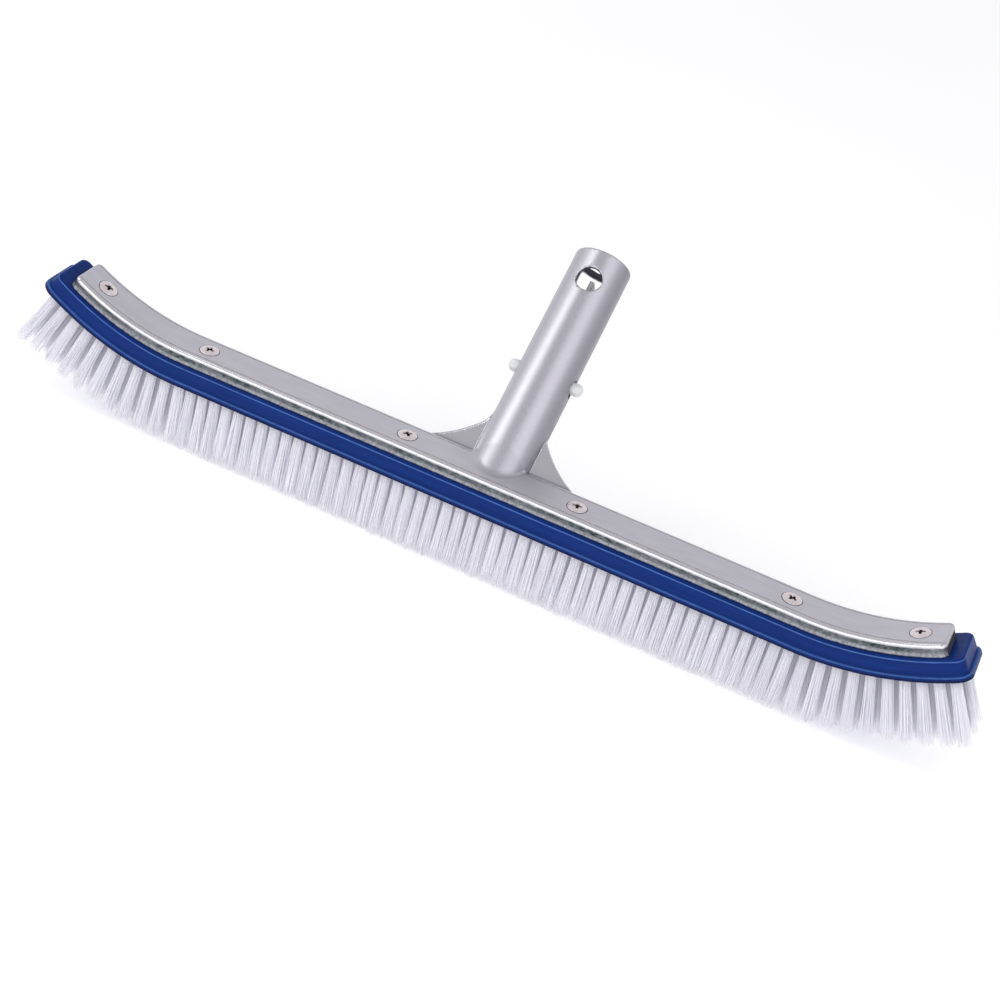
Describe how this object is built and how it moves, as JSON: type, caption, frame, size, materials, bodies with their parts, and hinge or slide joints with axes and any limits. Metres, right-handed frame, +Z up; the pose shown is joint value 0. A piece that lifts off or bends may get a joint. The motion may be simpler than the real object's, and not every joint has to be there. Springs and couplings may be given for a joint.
{
  "type": "pool wall brush",
  "caption": "Curved pool wall brush: aluminium back with a leaning pole spigot and sprung locking pins, plastic block, nylon bristle tufts.",
  "frame": {"origin": "middle of the brushing face, on the cut bristle tips of the middle tuft", "axes": "+X along the brush, +Y to the rear where the handle leans, +Z up from the bristle tips to the aluminium back"},
  "size_m": [0.4878, 0.1256, 0.128],
  "materials": {
    "cast_aluminium": "satin, brushed, polished shoulders",
    "blue_plastic": "moulded, semi-gloss",
    "screw_steel": "bright plated",
    "clip_nylon": "translucent moulded",
    "bristle_nylon": "fine filaments, slight sheen",
    "staple_wire": "drawn wire"
  },
  "bodies": {
    "brush": {"back_casting": "cast_aluminium", "brush_block": "blue_plastic", "screw_1": "screw_steel", "screw_2": "screw_steel", "screw_3": "screw_steel", "screw_4": "screw_steel", "screw_5": "screw_steel", "screw_6": "screw_steel", "clip_bow": "clip_nylon", "bristle_row_1": "bristle_nylon", "bristle_row_2": "bristle_nylon", "bristle_row_3": "bristle_nylon", "bristle_row_4": "bristle_nylon", "bristle_row_5": "bristle_nylon", "staple_row_1": "staple_wire", "staple_row_2": "staple_wire", "staple_row_3": "staple_wire", "staple_row_4": "staple_wire", "staple_row_5": "staple_wire"},
    "left_arm": {"clip_arm_left": "clip_nylon"},
    "right_arm": {"clip_arm_right": "clip_nylon"}
  },
  "joints": [
    {"name": "left_pin_press", "type": "hinge", "parent": "brush", "child": "left_arm", "pos_m": [-0.00165, 0.08716, 0.10472], "axis": [0, -0.6293, 0.7771], "range_deg": [0, 6.4], "stiffness_Nm_per_rad": 2, "springref_deg": -1.72},
    {"name": "right_pin_press", "type": "hinge", "parent": "brush", "child": "right_arm", "pos_m": [0.00165, 0.08716, 0.10472], "axis": [0, 0.6293, -0.7771], "range_deg": [0, 6.4], "stiffness_Nm_per_rad": 2, "springref_deg": -1.72}
  ]
}
